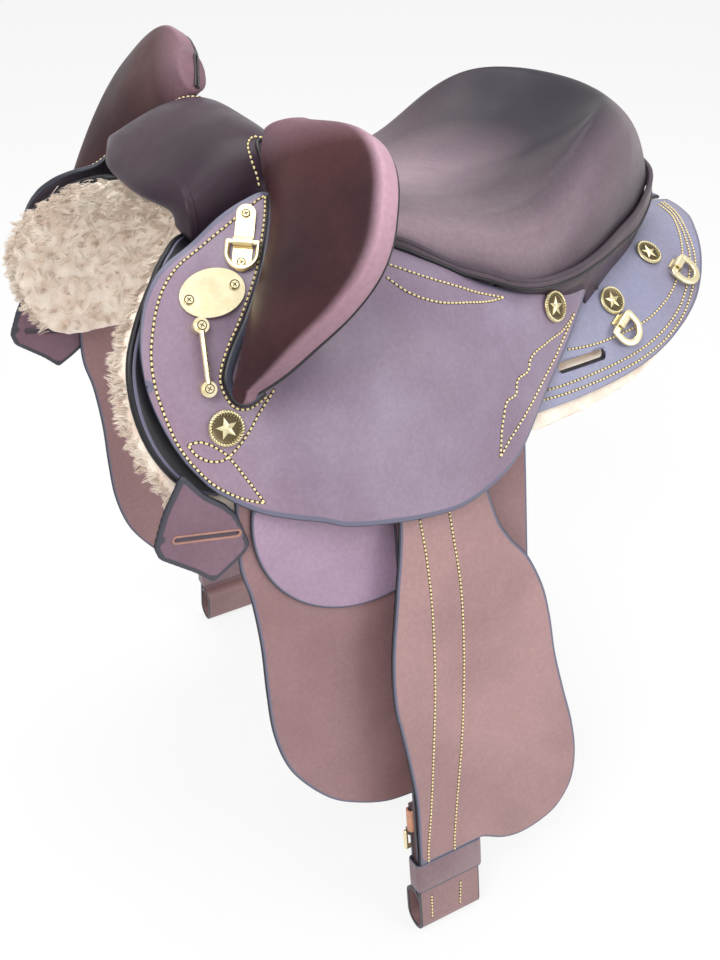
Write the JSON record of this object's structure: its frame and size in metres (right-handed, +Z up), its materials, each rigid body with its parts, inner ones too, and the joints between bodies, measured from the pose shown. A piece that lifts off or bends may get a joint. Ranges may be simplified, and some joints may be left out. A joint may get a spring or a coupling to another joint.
{
  "type": "australian stock saddle",
  "caption": "Leather stock saddle with padded knee rolls, deep padded seat, skirts over fleece, hanging fenders with stirrup loops, brass dees and star conchos.",
  "frame": {"origin": "on the middle plane of the saddle, under the front part of the seat, at about the height of the lower edge of the seat", "axes": "+X to the near (left) side of the horse, -Y to the front of the horse, +Z up"},
  "size_m": [0.5976, 0.6942, 0.8199],
  "materials": {
    "tree_wood": "bare wood, hidden under the leather",
    "steel": "plain steel",
    "fleece": "cream wool fleece",
    "seat_leather": "dark smooth leather",
    "pad_leather": "dark red-brown leather",
    "edge_leather": "near black edging leather",
    "saddle_leather": "purplish brown leather with a cool sheen",
    "tan_leather": "plain tan leather",
    "flap_leather": "rose brown leather",
    "antique_brass": "antique finish",
    "brass": "pale polished brass"
  },
  "bodies": {
    "saddle": {"tree_bar_near": "tree_wood", "tree_bar_off": "tree_wood", "tree_fork": "tree_wood", "cantle_board": "tree_wood", "ground_seat": "tree_wood", "stirrup_bar_near": "steel", "stirrup_bar_off": "steel", "gullet_lining": "edge_leather", "gullet_screws": "steel", "fork_cover": "saddle_leather", "seat_pad": "seat_leather", "seat_piping": "edge_leather", "cantle_back": "saddle_leather", "knee_pad_near": "pad_leather", "knee_pad_off": "pad_leather", "pad_welt_near": "edge_leather", "pad_welt_off": "edge_leather", "jockey_near": "saddle_leather", "jockey_off": "saddle_leather", "skirt_near": "saddle_leather", "skirt_off": "saddle_leather", "fleece_near": "fleece", "fleece_off": "fleece", "rigging_cover_near": "flap_leather", "rigging_cover_off": "flap_leather", "sweat_flap_near": "flap_leather", "sweat_flap_off": "flap_leather", "latigo_keeper_near": "saddle_leather", "latigo_keeper_off": "saddle_leather", "oval_plate": "brass", "plate_screws": "brass", "staple_near": "brass", "staple_off": "brass", "front_dee_clip_near": "brass", "front_dee_clip_off": "brass", "rear_dee_clips": "brass", "front_conchos": "antique_brass", "middle_conchos": "antique_brass", "rear_conchos": "antique_brass"},
    "fender_near": {"fender_near": "flap_leather", "stirrup_leather_near": "flap_leather", "lace_keeper_near": "tan_leather", "buckle_near": "brass"},
    "strap_keeper_near": {"strap_keeper_near": "flap_leather"},
    "buckle_tongue_near": {"buckle_tongue_near": "brass"},
    "front_dee_near": {"front_dee_near": "brass"},
    "rear_dee_upper_near": {"rear_dee_upper_near": "brass"},
    "rear_dee_lower_near": {"rear_dee_lower_near": "brass"},
    "fender_off": {"fender_off": "flap_leather", "stirrup_leather_off": "flap_leather", "lace_keeper_off": "tan_leather", "buckle_off": "brass"},
    "strap_keeper_off": {"strap_keeper_off": "flap_leather"},
    "buckle_tongue_off": {"buckle_tongue_off": "brass"},
    "front_dee_off": {"front_dee_off": "brass"},
    "rear_dee_upper_off": {"rear_dee_upper_off": "brass"},
    "rear_dee_lower_off": {"rear_dee_lower_off": "brass"}
  },
  "joints": [
    {"name": "fender_swing_near", "type": "hinge", "parent": "saddle", "child": "fender_near", "pos_m": [0.21131, -0.052, -0.07731], "axis": [0.989, 0, 0.1478], "range_deg": [-20, 20], "stiffness_Nm_per_rad": 2},
    {"name": "fender_swing_off", "type": "hinge", "parent": "saddle", "child": "fender_off", "pos_m": [-0.21131, -0.052, -0.07731], "axis": [0.989, 0, -0.1478], "range_deg": [-20, 20], "stiffness_Nm_per_rad": 2},
    {"name": "keeper_slide_near", "type": "slide", "parent": "fender_near", "child": "strap_keeper_near", "axis": [0.1478, 0, -0.989], "range_m": [0, 0.008]},
    {"name": "keeper_slide_off", "type": "slide", "parent": "fender_off", "child": "strap_keeper_off", "axis": [-0.1478, 0, -0.989], "range_m": [0, 0.008]},
    {"name": "buckle_tongue_turn_near", "type": "hinge", "parent": "fender_near", "child": "buckle_tongue_near", "pos_m": [0.2674, -0.052, -0.51113], "axis": [0, -1, 0], "range_deg": [0, 70]},
    {"name": "buckle_tongue_turn_off", "type": "hinge", "parent": "fender_off", "child": "buckle_tongue_off", "pos_m": [-0.2674, -0.052, -0.51113], "axis": [0, 1, 0], "range_deg": [0, 70]},
    {"name": "front_dee_turn_near", "type": "hinge", "parent": "saddle", "child": "front_dee_near", "pos_m": [0.137, -0.17541, 0.11214], "axis": [-0.5396, -0.8404, 0.0505], "range_deg": [0, 100]},
    {"name": "front_dee_turn_off", "type": "hinge", "parent": "saddle", "child": "front_dee_off", "pos_m": [-0.137, -0.17541, 0.11214], "axis": [-0.5396, 0.8404, -0.0505], "range_deg": [0, 100]},
    {"name": "rear_dee_upper_turn_near", "type": "hinge", "parent": "saddle", "child": "rear_dee_upper_near", "pos_m": [0.13023, 0.29542, -0.00753], "axis": [0.5077, -0.8249, -0.2485], "range_deg": [0, 90]},
    {"name": "rear_dee_upper_turn_off", "type": "hinge", "parent": "saddle", "child": "rear_dee_upper_off", "pos_m": [-0.13023, 0.29542, -0.00753], "axis": [0.5077, 0.8249, 0.2485], "range_deg": [0, 90]},
    {"name": "rear_dee_lower_turn_near", "type": "hinge", "parent": "saddle", "child": "rear_dee_lower_near", "pos_m": [0.16836, 0.19539, -0.03121], "axis": [0.3942, -0.8282, -0.3984], "range_deg": [0, 90]},
    {"name": "rear_dee_lower_turn_off", "type": "hinge", "parent": "saddle", "child": "rear_dee_lower_off", "pos_m": [-0.16836, 0.19539, -0.03121], "axis": [0.3942, 0.8282, 0.3984], "range_deg": [0, 90]}
  ]
}
